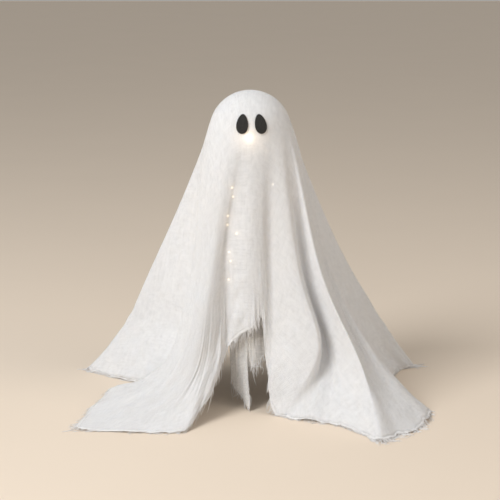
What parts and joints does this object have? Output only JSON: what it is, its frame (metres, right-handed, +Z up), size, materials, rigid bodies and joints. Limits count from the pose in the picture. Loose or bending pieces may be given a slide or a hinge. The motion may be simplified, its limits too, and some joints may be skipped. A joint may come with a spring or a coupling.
{
  "type": "lighted ghost figure",
  "caption": "Draped white gauze ghost with felt eyes, lit from inside by micro lights wound on a column over a battery housing, on wire legs.",
  "frame": {"origin": "on the surface that the figure stands on, under the middle of its overall box", "axes": "+Z up, the face looks towards -Y, +X to the right as the face is seen"},
  "size_m": [0.448, 0.3621, 0.3982],
  "materials": {
    "gauze": "open crinkled cotton gauze, raw edges",
    "gauze_thin": "single ply of open cotton gauze",
    "felt": "matt black felt",
    "milky_plastic": "milky moulded plastic",
    "steel": "drawn wire, plain",
    "rubber": "matt",
    "copper": "lacquered copper wire",
    "warm_resin": "clear drop over a warm white light",
    "nickel": "nickel plated",
    "cell_sleeve": "plain dark sleeve over a metal can",
    "board": "green laminate",
    "black_plastic": "fine texture"
  },
  "bodies": {
    "figure": {"gauze_drape": "gauze", "gauze_underlayer": "gauze_thin", "eye_left": "felt", "eye_right": "felt", "head_shell": "milky_plastic", "head_base_plate": "milky_plastic", "base_plate_screw_1": "steel", "base_plate_screw_2": "steel", "base_plate_screw_3": "steel", "leg_front_left": "steel", "leg_front_right": "steel", "leg_rear_left": "steel", "leg_rear_right": "steel", "foot_front_left": "rubber", "foot_front_right": "rubber", "foot_rear_left": "rubber", "foot_rear_right": "rubber", "light_column": "milky_plastic", "light_string": "copper", "string_anchor": "milky_plastic", "led_bead_01": "warm_resin", "led_bead_02": "warm_resin", "led_bead_03": "warm_resin", "led_bead_04": "warm_resin", "led_bead_05": "warm_resin", "led_bead_06": "warm_resin", "led_bead_07": "warm_resin", "led_bead_08": "warm_resin", "led_bead_09": "warm_resin", "led_bead_10": "warm_resin", "led_bead_11": "warm_resin", "led_bead_12": "warm_resin", "led_bead_13": "warm_resin", "led_bead_14": "warm_resin", "led_bead_15": "warm_resin", "led_bead_16": "warm_resin", "lamp_post": "milky_plastic", "head_lamp": "warm_resin", "lamp_lead": "copper", "battery_housing": "milky_plastic", "hinge_pin": "steel", "contact_top": "nickel", "contact_spring_1": "nickel", "contact_spring_2": "nickel", "contact_spring_3": "nickel", "battery_cell_1": "cell_sleeve", "battery_cell_2": "cell_sleeve", "battery_cell_3": "cell_sleeve", "circuit_board": "board", "switch_body": "steel"},
    "door": {"battery_door": "milky_plastic", "contact_door": "nickel", "door_screw": "steel"},
    "switch": {"switch_slider": "black_plastic"}
  },
  "joints": [
    {"name": "battery_door_hinge", "type": "hinge", "parent": "figure", "child": "door", "pos_m": [-0.005, 0.0462, 0.0867], "axis": [1, 0, 0], "range_deg": [0, 100]},
    {"name": "switch_slide", "type": "slide", "parent": "figure", "child": "switch", "axis": [0, 0, 1], "range_m": [0, 0.004]}
  ]
}
